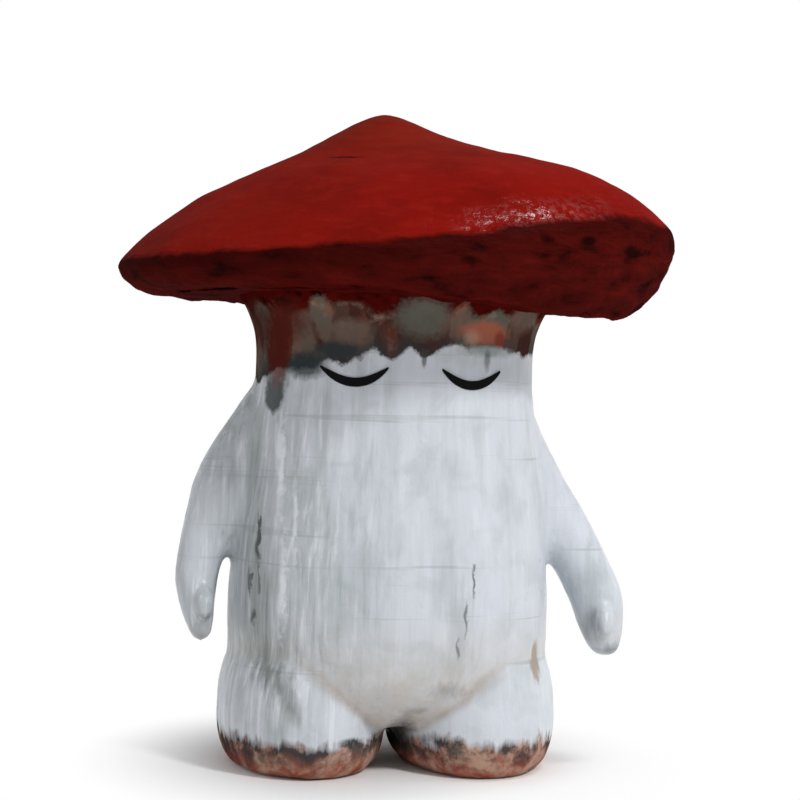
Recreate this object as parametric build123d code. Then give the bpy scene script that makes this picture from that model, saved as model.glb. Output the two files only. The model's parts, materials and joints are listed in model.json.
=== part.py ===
"""Ceramic mushroom figure: hollow castings luted together with slip.

The figure stands on its two feet on the plane z = 0, with the origin between them, and faces -Y.
Left and right are the figure's own, so its left side is +X. All sizes are in millimetres.
"""

import os
from math import cos, radians, sin, tan

from build123d import *

# Cap: the outline of the brim's edge, its raised lobe and its saddle wave
TOTAL_HEIGHT = 200.0  # floor to the cap's peak
PEAK_SHIFT = -5.0  # the peak stands this far along X from the stem's axis
CAP_WIDTH = 172.0
CAP_DEPTH = 156.0
RIM_HEIGHT = 152.5  # height of the brim's edge away from the lobe
LOBE_LIFT = 12.0  # the edge rises this far at the lobe
LOBE_TURN = -38.0  # degrees from +X to the lobe
LOBE_NARROWNESS = 5  # higher for a narrower lobe
BRIM_WAVE = 1.2  # half the height of the saddle wave along the edge
BRIM_WAVE_TURN = -50.0  # degrees from +X to the wave's crest
CAP_WALL = 6.0
PEAK_WALL = 10.0  # clay over the hollow's own peak

# Dome, as shares of the brim's size, of the height from edge to peak, and of the brim's lift
SHOULDER_RING = (0.955, 0.07, 1.05)
SLOPE_RING = (0.72, 0.38, 0.86)
UMBO_RING = (0.38, 0.695, 0.2)
CROWN_RING = (0.16, 0.9, 0.03)
NUB_RING = (0.05, 0.987, 0.0)

# Angles from +X of the points that a freely curved ring passes through
RING_TURNS = [radians(22.5 * i) for i in range(16)]

# Underside plate: let into the cap from below, with its edge in a rebate
SEAM_INSET = 17.0  # from the brim's edge to the seam
SEAM_DROP = 9.5  # the seam lies this far below the edge
SEAM_WAVE = -0.4  # share of the brim's lift: the lobe is thicker because the seam sinks under it
PLATE_THICKNESS = 7.0
LEDGE = 5.0  # width of the rebate's floor

# Rounded lip, as shares of the way from the brim's edge to the seam, across and down, and of the lift
LIP_RINGS = ((0.18, 0.62, 0.6), (0.53, 0.95, 0.1), (0.82, 1.0, -0.25))

# Stem body: height, width and depth of each station, from the collar down
COLLAR_HEIGHT = 143.0
COLLAR_WIDTH = 94.0
COLLAR_DEPTH = 82.0
NECK_HEIGHT = 129.0
NECK_WIDTH = 84.0
NECK_DEPTH = 72.0
CHEST_HEIGHT = 92.0
CHEST_WIDTH = 91.0
CHEST_DEPTH = 76.0
BELLY_HEIGHT = 50.0
BELLY_WIDTH = 101.0
BELLY_DEPTH = 84.0
HIP_HEIGHT = 27.0
HIP_WIDTH = 97.0
HIP_DEPTH = 76.0
CROTCH_HEIGHT = 13.0
CROTCH_WIDTH = 60.0
CROTCH_DEPTH = 42.0
BODY_WALL = 5.5
VENT_BORE = 3.0  # kiln vent through the floor of the body, between the legs

# Luted joints: round pegs in blind sockets, and a round spigot at the collar
JOINT_CLEARANCE = 0.25  # on every side, filled with slip
SOCKET_WALL = 4.0  # clay behind and round a blind socket
SPIGOT_DIAMETER = 64.0
SPIGOT_WALL = 5.0

# Legs: two short stumps on sloping flat seats
LEG_SPACING = 53.0  # between the legs' middles
LEG_SEAT_SLOPE = 21.0  # degrees, rising outwards from the crotch
LEG_TOP_HEIGHT = 40.0
LEG_TOP_WIDTH = 42.0
LEG_TOP_DEPTH = 62.0
CALF_HEIGHT = 13.0
CALF_WIDTH = 49.0
CALF_DEPTH = 71.0
ANKLE_HEIGHT = 4.0
ANKLE_WIDTH = 46.5
ANKLE_DEPTH = 68.0
SOLE_WIDTH = 40.0
SOLE_DEPTH = 60.0
FOOT_RING = 6.0  # width of the bare ring that the foot stands on
FOOT_RECESS = 2.0
LEG_PEG_DIAMETER = 16.0
LEG_PEG_LENGTH = 4.5

# Arms: a seat let into the body's side, then elbow, wrist, palm and fingertip, out and down from it
SHOULDER_HEIGHT = 89.0
SHOULDER_INSET = 4.0  # the seat lies this far inside the chest's side
SHOULDER_RISE = 40.0
SHOULDER_DEPTH = 22.0
SHOULDER_TILT = 5.0  # degrees that the seat faces up, with the body's side
UPPER_ARM_REACH = 7.5
UPPER_ARM_DROP = 8.5
UPPER_ARM_TURN = 37.0  # degrees below level that the limb points there
UPPER_ARM_RISE = 25.0
UPPER_ARM_DEPTH = 19.0
ELBOW_REACH = 17.0
ELBOW_DROP = 22.0
ELBOW_TURN = 66.0
ELBOW_DIAMETER = 15.5
WRIST_REACH = 21.0
WRIST_DROP = 37.0
WRIST_TURN = 82.0
WRIST_DIAMETER = 14.0
PALM_DROP = 45.5
PALM_WIDTH = 15.5  # front to back
PALM_THICKNESS = 12.0
FINGERTIP_DROP = 54.5
FORWARD_SWING = 5.0  # the fingertip lies this far in front of the seat
ARM_SWAY = 5.0  # the left fingertip hangs this much further out and the right one this much nearer
THUMB_DROP = 42.0
THUMB_LENGTH = 10.0
THUMB_DIAMETER = 6.0
THUMB_SPLAY = 35.0  # degrees forward of straight down
ARM_PEG_DIAMETER = 9.0
ARM_PEG_LENGTH = 4.5

# Eyes: two closed-lid crescents inlaid in dark slip
EYE_HEIGHT = 119.5
EYE_SPACING = 35.0
EYE_WIDTH = 19.0
EYE_SAG = 4.4  # of the lower arc
EYE_THICKNESS = 2.6
EYE_END = 0.9  # thickness at the crescent's ends
INLAY_DEPTH = 1.5
INLAY_CLEARANCE = 0.1

STRAIGHT_DOWN = 90.0  # degrees below level
BEYOND = 200.0  # longer than the figure, for cutting blocks


def oval(width, depth, height):
    """A flat oval across the axis of the stem or of a leg."""
    return Plane.XY.offset(height) * scale(Circle(1.0), by=(width / 2, depth / 2, 1.0))


def both_sides(left):
    return left + mirror(left, Plane.YZ)


def brim_lift(turn):
    """How far the brim's edge rises at an angle from +X in radians."""
    lobe = LOBE_LIFT * ((1 + cos(turn - radians(LOBE_TURN))) / 2) ** LOBE_NARROWNESS
    wave = BRIM_WAVE * cos(2 * (turn - radians(BRIM_WAVE_TURN)))
    return lobe + wave


def cap_ring(width, depth, height, wave_share, shift=0.0):
    """A closed ring round the cap that rides on a share of the brim's lift."""
    points = []
    for turn in RING_TURNS:
        x = shift + width / 2 * cos(turn)
        y = depth / 2 * sin(turn)
        points.append((x, y, height + wave_share * brim_lift(turn)))
    return Wire([Spline(*points, periodic=True)])


def brim_ring(inset, drop, wave_share):
    """A ring inside the brim's edge and below it."""
    return cap_ring(CAP_WIDTH - 2 * inset, CAP_DEPTH - 2 * inset, RIM_HEIGHT - drop, wave_share)


def dome_ring(shares, wall=0.0):
    """A ring of the dome's outside, or with a wall of its inside."""
    out, up, wave_share = shares
    height = RIM_HEIGHT + up * (TOTAL_HEIGHT - RIM_HEIGHT)
    shift = (1 - out) * PEAK_SHIFT
    return cap_ring(out * CAP_WIDTH - wall, out * CAP_DEPTH - wall, height - wall, wave_share, shift)


def seam_ring(clearance, raised, ledge=0.0):
    """The seam between cap top and underside, at its lower edge or raised into the rebate."""
    return brim_ring(SEAM_INSET + clearance + ledge, SEAM_DROP - raised, SEAM_WAVE)


def sewn(*skins):
    """A solid from skins that share their end rings."""
    faces = [face for skin in skins for face in skin.faces()]
    return Solid(Shell(faces))


def make_cap_top():
    lip = [brim_ring(across * SEAM_INSET, down * SEAM_DROP, wave) for across, down, wave in LIP_RINGS]
    dome = Shell.make_loft(
        [
            Vertex(PEAK_SHIFT, 0, TOTAL_HEIGHT),
            dome_ring(NUB_RING),
            dome_ring(CROWN_RING),
            dome_ring(UMBO_RING),
            dome_ring(SLOPE_RING),
            dome_ring(SHOULDER_RING),
            brim_ring(0.0, 0.0, 1.0),
            *lip,
            seam_ring(0.0, 0.0),
        ]
    )
    rebate_wall = Shell.make_loft([seam_ring(0.0, 0.0), seam_ring(0.0, PLATE_THICKNESS)], ruled=True)
    rebate_floor = Shell.make_loft(
        [seam_ring(0.0, PLATE_THICKNESS), seam_ring(0.0, PLATE_THICKNESS, LEDGE)], ruled=True
    )
    hollow = Shell.make_loft(
        [
            seam_ring(0.0, PLATE_THICKNESS, LEDGE),
            dome_ring(SLOPE_RING, CAP_WALL),
            dome_ring(UMBO_RING, CAP_WALL),
            Vertex(PEAK_SHIFT, 0, TOTAL_HEIGHT - PEAK_WALL),
        ]
    )
    return sewn(dome, rebate_wall, rebate_floor, hollow)


def make_cap_underside():
    collar = cap_ring(COLLAR_WIDTH, COLLAR_DEPTH, COLLAR_HEIGHT, 0.0)
    hub = cap_ring(COLLAR_WIDTH, COLLAR_DEPTH, COLLAR_HEIGHT + PLATE_THICKNESS, 0.0)
    edge_low = seam_ring(JOINT_CLEARANCE, 0.0)
    edge_high = seam_ring(JOINT_CLEARANCE, PLATE_THICKNESS - JOINT_CLEARANCE)
    land = seam_ring(JOINT_CLEARANCE, PLATE_THICKNESS - JOINT_CLEARANCE, LEDGE)
    plate = sewn(
        Face(collar),
        Shell.make_loft([collar, edge_low, edge_high, land, hub], ruled=True),
        Face(hub),
    )
    return plate - Pos(0, 0, COLLAR_HEIGHT) * Cylinder(SPIGOT_DIAMETER / 2 + JOINT_CLEARANCE, BEYOND)


def body_form(inset=0.0):
    """The stem body, solid, with every station drawn in by inset."""
    return loft(
        (
            oval(CROTCH_WIDTH - 2 * inset, CROTCH_DEPTH - 2 * inset, CROTCH_HEIGHT),
            oval(HIP_WIDTH - 2 * inset, HIP_DEPTH - 2 * inset, HIP_HEIGHT),
            oval(BELLY_WIDTH - 2 * inset, BELLY_DEPTH - 2 * inset, BELLY_HEIGHT),
            oval(CHEST_WIDTH - 2 * inset, CHEST_DEPTH - 2 * inset, CHEST_HEIGHT),
            oval(NECK_WIDTH - 2 * inset, NECK_DEPTH - 2 * inset, NECK_HEIGHT),
            oval(COLLAR_WIDTH - 2 * inset, COLLAR_DEPTH - 2 * inset, COLLAR_HEIGHT),
        )
    )


def body_hollow():
    """The room inside the body, drawn in at the collar to the spigot's bore."""
    bore = SPIGOT_DIAMETER - 2 * SPIGOT_WALL
    room = loft(
        (
            oval(HIP_WIDTH - 2 * BODY_WALL, HIP_DEPTH - 2 * BODY_WALL, HIP_HEIGHT),
            oval(BELLY_WIDTH - 2 * BODY_WALL, BELLY_DEPTH - 2 * BODY_WALL, BELLY_HEIGHT),
            oval(CHEST_WIDTH - 2 * BODY_WALL, CHEST_DEPTH - 2 * BODY_WALL, CHEST_HEIGHT),
            oval(NECK_WIDTH - 2 * BODY_WALL, NECK_DEPTH - 2 * BODY_WALL, NECK_HEIGHT),
            oval(bore, bore, COLLAR_HEIGHT),
        )
    )
    floor = (LEG_PEG_LENGTH + JOINT_CLEARANCE + SOCKET_WALL) / cos(radians(LEG_SEAT_SLOPE))
    room -= both_sides(leg_block(floor))
    return room - both_sides(shoulder_boss()) + extrude(oval(bore, bore, COLLAR_HEIGHT), BEYOND)


def leg_form():
    """The left leg, solid, from the sole up into the belly."""
    stations = (
        oval(SOLE_WIDTH, SOLE_DEPTH, 0.0),
        oval(ANKLE_WIDTH, ANKLE_DEPTH, ANKLE_HEIGHT),
        oval(CALF_WIDTH, CALF_DEPTH, CALF_HEIGHT),
        oval(LEG_TOP_WIDTH, LEG_TOP_DEPTH, LEG_TOP_HEIGHT),
    )
    return Pos(LEG_SPACING / 2, 0, 0) * loft(stations)


def leg_block(raised=0.0):
    """Everything under the left leg's sloping seat, lifted by raised."""
    foot = CROTCH_HEIGHT + raised
    slope = Polyline(
        (0, -BEYOND),
        (0, foot),
        (BEYOND, foot + BEYOND * tan(radians(LEG_SEAT_SLOPE))),
        (BEYOND, -BEYOND),
        close=True,
    )
    return extrude(Plane.XZ * make_face(slope), BEYOND, both=True)


def leg_seat():
    """The middle of the left leg's seat, facing up into the body."""
    out = LEG_SPACING / 2
    slope = radians(LEG_SEAT_SLOPE)
    return Plane(
        origin=(out, 0, CROTCH_HEIGHT + out * tan(slope)),
        x_dir=(cos(slope), 0, sin(slope)),
        z_dir=(-sin(slope), 0, cos(slope)),
    )


def leg_peg(clearance):
    """The peg, or with a clearance its socket, standing on the leg's seat."""
    outline = leg_seat() * Circle(LEG_PEG_DIAMETER / 2 + clearance)
    return extrude(outline, LEG_PEG_LENGTH + clearance)


def make_left_leg(trunk):
    sole = Pos(LEG_SPACING / 2, 0, 0) * oval(SOLE_WIDTH - 2 * FOOT_RING, SOLE_DEPTH - 2 * FOOT_RING, 0)
    return (trunk & leg_block()) + leg_peg(0.0) - extrude(sole, FOOT_RECESS)


def shoulder_seat():
    """The middle of the left arm's seat, facing out of the body."""
    tilt = radians(SHOULDER_TILT)
    return Plane(
        origin=(CHEST_WIDTH / 2 - SHOULDER_INSET, 0, SHOULDER_HEIGHT),
        x_dir=(-sin(tilt), 0, cos(tilt)),
        z_dir=(cos(tilt), 0, sin(tilt)),
    )


def shoulder_boss():
    """Clay behind the shoulder seat that holds the arm's socket."""
    outline = oval(SHOULDER_RISE + 2 * SOCKET_WALL, SHOULDER_DEPTH + 2 * SOCKET_WALL, 0.0)
    return extrude(shoulder_seat() * outline, -ARM_PEG_LENGTH - JOINT_CLEARANCE - SOCKET_WALL)


def arm_peg(clearance):
    """The peg, or with a clearance its socket, that runs from the shoulder seat into the body."""
    outline = shoulder_seat() * Circle(ARM_PEG_DIAMETER / 2 + clearance)
    return extrude(outline, -ARM_PEG_LENGTH - clearance)


def across_arm(reach, drop, turn, sway):
    """A plane across an arm on the left, out and down from its seat, facing turn degrees below level."""
    share = (drop / FINGERTIP_DROP) ** 2
    down = radians(turn)
    return Plane(
        origin=shoulder_seat().origin + Vector(reach + sway * share, -FORWARD_SWING * share, -drop),
        x_dir=(sin(down), 0, cos(down)),
        z_dir=(cos(down), 0, -sin(down)),
    )


def arm_ring(place, rise, depth):
    """A closed oval ring on a plane across the arm."""
    points = [place.from_local_coords((rise / 2 * cos(t), depth / 2 * sin(t), 0)) for t in RING_TURNS]
    return Wire([Spline(*points, periodic=True)])


def arm_form(sway, clearance=0.0):
    """An arm on the left without its thumb, or with a clearance the room that it takes in the body's side."""
    grow = 2 * clearance
    upper_arm = across_arm(UPPER_ARM_REACH, UPPER_ARM_DROP, UPPER_ARM_TURN, sway)
    elbow = across_arm(ELBOW_REACH, ELBOW_DROP, ELBOW_TURN, sway)
    wrist = across_arm(WRIST_REACH, WRIST_DROP, WRIST_TURN, sway)
    palm = across_arm(WRIST_REACH, PALM_DROP, STRAIGHT_DOWN, sway)
    fingertip = across_arm(WRIST_REACH, FINGERTIP_DROP + clearance, STRAIGHT_DOWN, sway).origin
    return Solid.make_loft(
        [
            arm_ring(shoulder_seat(), SHOULDER_RISE + grow, SHOULDER_DEPTH + grow),
            arm_ring(upper_arm, UPPER_ARM_RISE + grow, UPPER_ARM_DEPTH + grow),
            arm_ring(elbow, ELBOW_DIAMETER + grow, ELBOW_DIAMETER + grow),
            arm_ring(wrist, WRIST_DIAMETER + grow, WRIST_DIAMETER + grow),
            arm_ring(palm, PALM_THICKNESS + grow, PALM_WIDTH + grow),
            Vertex(fingertip.X, fingertip.Y, fingertip.Z),
        ]
    )


def make_arm(sway):
    """An arm on the left, with its thumb and its peg."""
    root = across_arm(WRIST_REACH, THUMB_DROP, STRAIGHT_DOWN, sway).origin
    thumb = Pos(0, 0, -THUMB_LENGTH / 2) * Cylinder(THUMB_DIAMETER / 2, THUMB_LENGTH)
    thumb += Pos(0, 0, -THUMB_LENGTH) * Sphere(THUMB_DIAMETER / 2)
    return arm_form(sway) + Pos(*root) * Rot(-THUMB_SPLAY, 0, 0) * thumb + arm_peg(0.0)


def eye_inlay(clearance):
    """The left eye's crescent, flush with the body's front: its groove, or with a clearance its slip."""
    half = EYE_WIDTH / 2 - clearance
    end = EYE_END / 2 - clearance
    outline = [
        ThreePointArc((-half, -end), (0, clearance - EYE_SAG), (half, -end)),
        Line((half, -end), (half, end)),
        ThreePointArc((half, end), (0, EYE_THICKNESS - EYE_SAG - clearance), (-half, end)),
        Line((-half, end), (-half, -end)),
    ]
    place = Plane(origin=(EYE_SPACING / 2, 0, EYE_HEIGHT), x_dir=(1, 0, 0), z_dir=(0, -1, 0))
    prism = extrude(place * make_face(outline), BEYOND)
    return (prism & body_form()) - body_form(INLAY_DEPTH - clearance)


def make_stem_body(trunk):
    spigot = extrude(oval(SPIGOT_DIAMETER, SPIGOT_DIAMETER, COLLAR_HEIGHT), PLATE_THICKNESS)
    shell = trunk - both_sides(leg_block()) + spigot - body_hollow()
    shell -= arm_form(ARM_SWAY, JOINT_CLEARANCE)
    shell -= mirror(arm_form(-ARM_SWAY, JOINT_CLEARANCE), Plane.YZ)
    shell -= both_sides(arm_peg(JOINT_CLEARANCE))
    shell -= both_sides(leg_peg(JOINT_CLEARANCE))
    shell -= both_sides(eye_inlay(0.0))
    return shell - Cylinder(VENT_BORE / 2, BELLY_HEIGHT * 2)


def main():
    os.makedirs("parts", exist_ok=True)
    trunk = body_form() + both_sides(leg_form())
    parts = {
        "cap_top": make_cap_top(),
        "cap_underside": make_cap_underside(),
        "stem_body": make_stem_body(trunk),
        "left_arm": make_arm(ARM_SWAY),
        "right_arm": mirror(make_arm(-ARM_SWAY), Plane.YZ),
    }
    left_parts = {
        "leg": make_left_leg(trunk),
        "eye": eye_inlay(INLAY_CLEARANCE),
    }
    for name, shape in left_parts.items():
        parts[f"left_{name}"] = shape
        parts[f"right_{name}"] = mirror(shape, Plane.YZ)
    for name, shape in parts.items():
        export_step(shape, f"parts/{name}.step")


main()
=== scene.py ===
"""Glazed ceramic mushroom figure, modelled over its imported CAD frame.

Sizes are in metres, or in millimetres where a comment says so, in the frame of the CAD model:
the figure stands on z = 0 and faces -Y, and its own left side is +X.
"""

import json
from functools import partial
from math import atan2, cos, radians, sin, tan

import bmesh
import bpy
from bpy.props import FloatProperty, PointerProperty, StringProperty
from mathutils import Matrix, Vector
from mathutils.bvhtree import BVHTree

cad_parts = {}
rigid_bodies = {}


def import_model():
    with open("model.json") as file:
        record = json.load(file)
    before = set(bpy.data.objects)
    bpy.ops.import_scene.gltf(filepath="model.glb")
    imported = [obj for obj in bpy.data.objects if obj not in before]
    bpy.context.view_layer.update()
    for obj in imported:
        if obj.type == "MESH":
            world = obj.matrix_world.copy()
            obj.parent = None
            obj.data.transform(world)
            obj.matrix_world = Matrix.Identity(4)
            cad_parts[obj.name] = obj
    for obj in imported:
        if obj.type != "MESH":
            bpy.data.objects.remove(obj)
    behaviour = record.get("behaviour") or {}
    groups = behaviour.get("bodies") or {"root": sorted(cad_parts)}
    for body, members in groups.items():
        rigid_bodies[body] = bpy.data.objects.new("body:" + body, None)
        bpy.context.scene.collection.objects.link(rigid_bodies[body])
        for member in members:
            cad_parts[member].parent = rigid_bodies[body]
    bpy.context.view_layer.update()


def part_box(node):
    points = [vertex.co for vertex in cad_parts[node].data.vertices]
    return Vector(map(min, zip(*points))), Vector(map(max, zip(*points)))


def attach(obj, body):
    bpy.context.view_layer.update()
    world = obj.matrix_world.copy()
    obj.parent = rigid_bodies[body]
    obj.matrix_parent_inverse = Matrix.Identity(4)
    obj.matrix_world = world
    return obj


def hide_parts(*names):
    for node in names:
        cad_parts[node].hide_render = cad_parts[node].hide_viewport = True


bl_info = {
    "name": "Ceramic mushroom figure",
    "version": (1, 0, 0),
    "blender": (4, 5, 0),
    "location": "View3D > Sidebar > Figure",
    "description": "Models a glazed ceramic mushroom figure and its studio stage",
    "category": "Object",
}

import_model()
CAP_LOW, CAP_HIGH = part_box("cap_top")
MM = 0.001

# Body rings from the crotch to the collar: height, width, depth, in millimetres
BODY_RINGS = (
    (13, 56, 40),
    (15, 70, 50),
    (20, 87, 66),
    (28, 98, 78),
    (39, 100, 83.5),
    (51, 100.3, 85.5),
    (65, 98.7, 83.5),
    (79, 95.2, 79.5),
    (92, 92, 76.5),
    (105, 89, 74),
    (118, 86.5, 72.5),
    (128, 86, 72),
    (135, 88.5, 75),
    (140, 94, 81),
    (144, 100, 87.5),
    (147, 104, 92),
)

# Leg rings from the sole up into the body: height, width, depth, in millimetres
LEG_RINGS = (
    (0, 37, 56),
    (0, 42, 61),
    (3, 47.5, 68),
    (8, 51.2, 70.5),
    (14, 52, 71.5),
    (21, 52, 71),
    (29, 50, 68),
    (40, 43, 62),
)

# In millimetres: distance between the legs' middles, width of the foot ring, depth of the hollow in it
LEG_SPREAD = 52.6
SOLE_RING = 6
SOLE_HOLLOW = 2

# Arm rings from inside the body to the fingertips, in millimetres from the shoulder seat:
# reach out, drop, turn below level in degrees, rise, depth
LEFT_ARM_RINGS = (
    (-5, -6, -5, 48, 19),
    (0, -6, -5, 52, 22),
    (3.5, 4.5, 16, 32, 21),
    (6.7, 10, 38, 24.5, 19.5),
    (13.5, 17.5, 56, 20, 17.5),
    (18, 23.5, 62, 17.5, 16.5),
    (22.5, 31.5, 65, 17.3, 16),
    (25.5, 38.5, 72, 16.8, 16),
    (26.5, 44.5, 80, 14.8, 16),
    (26.8, 50, 86, 12, 14.5),
    (27.2, 53.5, 90, 9.5, 11),
    (27.4, 55.8, 92, 5, 6),
)
RIGHT_ARM_RINGS = (
    (-5, -7, -5, 52, 19),
    (0, -7, -5, 56, 22),
    (5, 2, 12, 39, 21.5),
    (9.5, 7, 34, 29, 20),
    (13, 14, 58, 20, 17.5),
    (15.5, 21, 72, 16, 15.5),
    (17.8, 27.5, 82, 13.6, 14.5),
    (18.4, 34, 90, 13, 15),
    (17.9, 40.5, 96, 10.8, 15.5),
    (17, 45, 98, 9.2, 14),
    (16.4, 49, 98, 7, 11),
    (16.2, 51.8, 95, 4, 6),
)

# In millimetres: shoulder seat's distance from the axis and height, and the fingertips' swing forwards
SHOULDER = (41.5, 89)
FORWARD_SWING = 5

# Thumb: the arm ring that it grows from, its place inwards, forwards and up from there in millimetres,
# its turn in degrees, and its half sizes in millimetres
THUMB_RING = -4
THUMB_SHIFT = (1.5, 11, 1)
THUMB_TURN = -28
THUMB_SIZE = (3.2, 3.2, 6.0)

# Cap rings down the outside, from the peak to the rim:
# share of the brim's size, share of the dome's rise, share of the brim's lift
DOME_RINGS = (
    (0.006, 1.001, 0.0),
    (0.05, 0.989, 0.0),
    (0.11, 0.948, 0.01),
    (0.18, 0.883, 0.04),
    (0.28, 0.788, 0.1),
    (0.40, 0.679, 0.23),
    (0.54, 0.557, 0.49),
    (0.67, 0.438, 0.76),
    (0.79, 0.306, 0.97),
    (0.88, 0.187, 1.06),
    (0.945, 0.082, 1.05),
    (0.978, 0.028, 1.02),
    (0.995, -0.014, 1.0),
    (1.003, -0.05, 0.97),
)

# Cap rings under the rim, to the seam: distance in from the rim, drop below it, share of the lift
LIP_RINGS = (
    (0.0004, 0.0042, 0.9),
    (0.0016, 0.0062, 0.75),
    (0.004, 0.0081, 0.5),
    (0.009, 0.0094, 0.1),
    (0.0135, 0.0096, -0.25),
)

# Hollow inside the cap, from the ledge up, given as the dome's rings are
HOLLOW_RINGS = ((0.686, 0.253, 0.86), (0.345, 0.568, 0.2), (0.12, 0.76, 0.02), (0.01, 0.79, 0.0))

# Rebate in the cap, from the seam up:
# distance in from the seam, plate thicknesses up, extra height, share of the seam's lift
REBATE_RINGS = (
    (0.0, 0, 0.0, 1.0),
    (0.0, 0, 0.0008, 1.0),
    (0.0, 1, 0.0, 1.0),
    (0.004, 1, 0.0, 1.0),
    (0.006, 1, 0.002, 1.0),
)

# Underside plate, from its upper face round its edge to its lower face, given as the rebate's rings are
PLATE_RINGS = (
    (0.0455, 1, 0.0, 0.0),
    (0.0155, 1, 0.0, 0.2),
    (-0.0035, 1, 0.0, 0.25),
    (-0.0045, 1, -0.001, 0.25),
    (-0.0045, 0, 0.0008, 0.25),
    (-0.0045, 0, 0.0, 0.25),
    (0.0, 0, 0.0, 1.0),
    (0.0025, 0, 0.0, 0.85),
    (0.008, 0, 0.0, 0.55),
    (0.014, 0, 0.0, 0.28),
    (0.02, 0, 0.0, 0.0),
    (0.048, 0, 0.0, 0.0),
)

# The plate is let into the rebate by this much
PLATE_LET_IN = 0.0002

# The clay is torn from this height over the rim downwards, and fully so this much lower
TORN_START = 0.0005
TORN_FADE = 0.004

# Vertices round each form
CAP_AROUND = 52
PLATE_AROUND = 64
TRUNK_AROUND = 48
LIMB_AROUND = 32

# Slip smoothed where limbs meet the body: its edge in blends, wider over the hips and at the back
JOINT_EDGE = 1.3
HIP_START = 0.02
HIP_BLEND = 0.35
BACK_BLEND = 0.2
SKIN_SMOOTHING = 4
JOINT_SMOOTHING = 30

# Fold between belly and legs: its edge in widths, how far it goes sideways and back, and its fade
FOLD_EDGE = 1.2
FOLD_WIDTH = 0.0022
FOLD_SIDE = 0.038
FOLD_BACK = 0.01
FOLD_FADE = 0.02

# Width of the border between a leg and the belly's wash with its painted shade
LEG_EDGE = 0.003

# A cut through the skin is closed inside the piece by shrinking its rim to this share
CUT_SHRINK = 0.85

# More cuts than a piece can have
MOST_CUTS = 12

# Edges sharper than this stay sharp
SHARP_ANGLE = radians(50)

# Lids of the eyes: share of the thickness at the ends, share of the sag below the eye's height,
# and the place in front of the face from which they are laid on it
LID_END = 0.25
LID_MIDDLE = 0.6
BEFORE_FACE = -0.06

# Lamps: name, place, length and width, turn in degrees
LAMPS = (
    ("key", (0.5, -0.7, 0.8), (0.16, 0.16), 0),
    ("fill", (-0.8, -0.45, 0.45), (0.8, 0.8), 0),
    ("strip", (0.29, -0.13, 1.0), (0.4, 0.06), -54),
)
LAMP_AIM = (0, 0, 0.11)

# Floor, with the distances from the figure at which it starts to fade and is white
FLOOR_SIZE = 12
WHITE_START = 0.04
WHITE_FULL = 0.1

# Width of the camera's sensor in millimetres, and the nearest distance that it sees
SENSOR = 36
NEAREST_SEEN = 0.01

# Marks rubbed softly into the white glaze, some of which also paint shade where less light falls:
# colour, middle and reach each way in millimetres, strength, softness of the edge
SMUDGES = (
    # Grey-green grime that also paints the shade on the body's shaded side, away from the key lamp
    ("grime", (-47, -18, 72), (27, 34, 64), 0.68, 1.3),
    ("body_grey", (-20, -39, 57), (15, 16, 25), 0.6, 1.4),
    ("body_grey", (9, -41, 60), (4.5, 12, 13), 0.55, 1.2),
    ("body_grey", (12, -37, 91), (5, 12, 8), 0.35, 1.3),
    ("body_grey", (66, -8, 52), (11, 16, 17), 0.6, 1.3),
    ("body", (-61, -10, 68), (6.5, 14, 32), 0.75, 0.9),
    # Dirt with painted shade between the figure's right arm and the body, and in the fold over its right
    # leg
    ("dirt", (-43, -20, 52), (8, 16, 28), 0.45, 1.3),
    ("dirt", (-37, -28, 38), (8, 16, 17), 0.5, 1.3),
    ("dirt", (-40, -28, 33), (5, 16, 8), 0.75, 1.1),
    ("dirt", (-36.5, -30, 27), (4.6, 16, 7.5), 0.75, 1.1),
    ("dirt", (-33, -32, 21.5), (3, 16, 6), 0.75, 1.0),
    ("dirt", (15, -41, 44), (6, 12, 18), 0.3, 1.1),
    # Dirt with painted shade in the fold over the legs
    ("dirt", (12, -38, 27), (7, 12, 3.5), 0.5, 1.0),
    ("dirt", (3, -37, 20.5), (6, 12, 2.2), 0.55, 0.9),
    ("smear", (41, -22, 33), (2.2, 9, 8.5), 0.85, 0.35),
    ("slate", (64, -10, 43), (4, 8, 6), 0.45, 1.0),
    ("slate", (70, -9, 36), (3.5, 8, 3), 0.5, 0.8),
    ("slate", (-57, -10, 46), (4, 8, 1.5), 0.5, 0.8),
)

# Ridges of thick white glaze, bright with a painted highlight along them, and cracks in it, given as the
# rubbed marks are
CRACKS = (
    # Thick glaze ridges with painted highlights
    ("body_light", (-37.3, -21, 93), (1.3, 14, 21), 0.95, 0.8),
    ("body_light", (-36.5, -26, 57), (1.4, 14, 20), 0.95, 0.8),
    ("body_light", (-33.5, -28, 76), (0.9, 14, 16), 0.7, 0.8),
    ("slate", (-43, -19, 70), (0.7, 9, 8.5), 0.95, 0.5),
    ("slate", (-45, -18, 57), (0.6, 9, 6), 0.8, 0.6),
    ("slate", (-42.6, -21.5, 58), (0.5, 9, 6), 0.6, 0.6),
    ("slate", (-43.9, -20, 46.5), (0.8, 9, 3), 0.8, 0.6),
    ("slate", (18.3, -39, 60), (0.5, 9, 6), 0.75, 0.6),
    ("slate", (16.2, -40, 49), (0.6, 9, 7), 0.65, 0.6),
    ("slate", (14, -40, 40), (0.6, 9, 4), 0.6, 0.6),
)

# Scratches in the red glaze, given in the same way
SCRATCHES = (
    ("underside_pit", (-21, -26, 183), (6.5, 14, 0.45), 0.85, 0.6),
    ("underside_pit", (-40, -22, 175), (3.0, 14, 0.5), 0.5, 0.7),
)

# Pits torn in the clay under the rim, dark with glaze and with painted shade, given in the same way
PITS = (
    ("underside_pit", (29, -74, 157), (4.5, 12, 2.2), 0.9, 0.6),
    ("underside_pit", (42, -68, 158), (3.5, 12, 1.8), 0.9, 0.6),
    ("underside_pit", (59, -57, 156.5), (4, 12, 2.6), 0.9, 0.6),
    ("underside_pit", (7, -78, 150), (4, 12, 1.8), 0.8, 0.6),
)
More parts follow.
